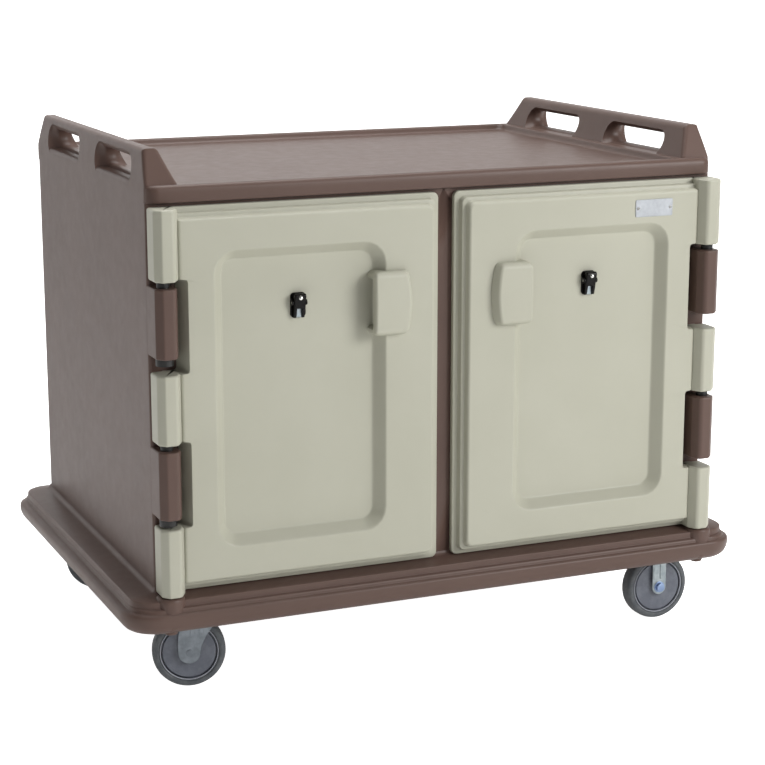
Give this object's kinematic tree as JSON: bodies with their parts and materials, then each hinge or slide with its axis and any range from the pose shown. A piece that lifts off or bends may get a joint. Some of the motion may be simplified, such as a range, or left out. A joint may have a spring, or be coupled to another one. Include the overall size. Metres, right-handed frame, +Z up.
{
  "type": "meal delivery cart",
  "caption": "Low insulated meal delivery cart: moulded shell on casters, two tray compartments side by side behind lift-off doors, handles at both ends.",
  "frame": {"origin": "on the floor at the middle of the cart's outline", "axes": "+X along the length to the end with the rigid casters, -Y out of the doors, +Z up"},
  "size_m": [1.382, 0.962, 1.102],
  "materials": {
    "shell_plastic": "fine moulded grain, satin",
    "foam": "cut foam, matt",
    "door_plastic": "fine moulded grain, satin",
    "gasket_rubber": "matt",
    "black_pin": "semi-gloss",
    "magnet": "dull",
    "stainless": "brushed",
    "clip_black": "glossy",
    "bright_rivet": "bright",
    "plate_foil": "satin",
    "zinc": "zinc plated",
    "bright_zinc": "zinc plated",
    "zinc_bolt": "blue zinc plated",
    "hub_plastic": "satin",
    "tyre_rubber": "satin"
  },
  "bodies": {
    "cart": {"body_shell": "shell_plastic", "wall_insulation": "foam", "left_hinge_pintles": "black_pin", "right_hinge_pintles": "black_pin", "left_hinge_collars": "black_pin", "strike_plates": "stainless", "left_tray_racks": "stainless", "right_tray_racks": "stainless", "rack_screws": "stainless", "caster_bolts": "zinc", "front_left_plate": "zinc", "rear_left_plate": "zinc", "front_right_fork": "bright_zinc", "front_right_axle": "zinc_bolt", "rear_right_fork": "bright_zinc", "rear_right_axle": "zinc_bolt"},
    "left_door_body": {"left_door": "door_plastic", "left_door_gasket": "gasket_rubber", "left_hinge_bushings": "black_pin", "left_door_magnets": "magnet", "left_clip_plate": "clip_black", "left_clip_pin": "bright_rivet"},
    "left_clip": {"left_clip_lever": "clip_black", "left_clip_rivet": "bright_rivet"},
    "right_door_body": {"right_door": "door_plastic", "right_door_gasket": "gasket_rubber", "right_hinge_bushings": "black_pin", "right_door_magnets": "magnet", "right_clip_plate": "clip_black", "right_clip_pin": "bright_rivet", "name_plate": "plate_foil", "name_plate_rivets": "bright_rivet"},
    "right_clip": {"right_clip_lever": "clip_black", "right_clip_rivet": "bright_rivet"},
    "front_left_swivel": {"front_left_fork": "zinc", "front_left_axle": "zinc_bolt"},
    "front_left_wheel": {"front_left_hub": "hub_plastic", "front_left_tyre": "tyre_rubber"},
    "rear_left_swivel": {"rear_left_fork": "zinc", "rear_left_axle": "zinc_bolt"},
    "rear_left_wheel": {"rear_left_hub": "hub_plastic", "rear_left_tyre": "tyre_rubber"},
    "front_right_wheel": {"front_right_hub": "hub_plastic", "front_right_tyre": "tyre_rubber"},
    "rear_right_wheel": {"rear_right_hub": "hub_plastic", "rear_right_tyre": "tyre_rubber"}
  },
  "joints": [
    {"name": "left_door_hinge", "type": "hinge", "parent": "cart", "child": "left_door_body", "pos_m": [-0.599, -0.449, 0.616], "axis": [0, 0, -1], "range_deg": [0, 200]},
    {"name": "left_clip_pivot", "type": "hinge", "parent": "left_door_body", "child": "left_clip", "pos_m": [-0.322, -0.444, 0.797], "axis": [1, 0, 0], "range_deg": [-12, 0], "stiffness_Nm_per_rad": 0.08, "springref_deg": 17.19},
    {"name": "right_door_hinge", "type": "hinge", "parent": "cart", "child": "right_door_body", "pos_m": [0.599, -0.449, 0.616], "axis": [0, 0, 1], "range_deg": [0, 200]},
    {"name": "right_clip_pivot", "type": "hinge", "parent": "right_door_body", "child": "right_clip", "pos_m": [0.322, -0.444, 0.797], "axis": [1, 0, 0], "range_deg": [-12, 0], "stiffness_Nm_per_rad": 0.08, "springref_deg": 17.19},
    {"name": "front_left_caster_swivel", "type": "hinge", "parent": "cart", "child": "front_left_swivel", "pos_m": [-0.489, -0.341, 0.18], "axis": [0, 0, 1], "continuous": true},
    {"name": "front_left_wheel_spin", "type": "hinge", "parent": "front_left_swivel", "child": "front_left_wheel", "pos_m": [-0.52684, -0.33157, 0.075], "axis": [0.2419, 0.9703, 0], "continuous": true},
    {"name": "rear_left_caster_swivel", "type": "hinge", "parent": "cart", "child": "rear_left_swivel", "pos_m": [-0.489, 0.341, 0.18], "axis": [0, 0, 1], "continuous": true},
    {"name": "rear_left_wheel_spin", "type": "hinge", "parent": "rear_left_swivel", "child": "rear_left_wheel", "pos_m": [-0.52684, 0.35043, 0.075], "axis": [0.2419, 0.9703, 0], "continuous": true},
    {"name": "front_right_wheel_spin", "type": "hinge", "parent": "cart", "child": "front_right_wheel", "pos_m": [0.56, -0.341, 0.075], "axis": [0, 1, 0], "continuous": true},
    {"name": "rear_right_wheel_spin", "type": "hinge", "parent": "cart", "child": "rear_right_wheel", "pos_m": [0.56, 0.341, 0.075], "axis": [0, 1, 0], "continuous": true}
  ]
}
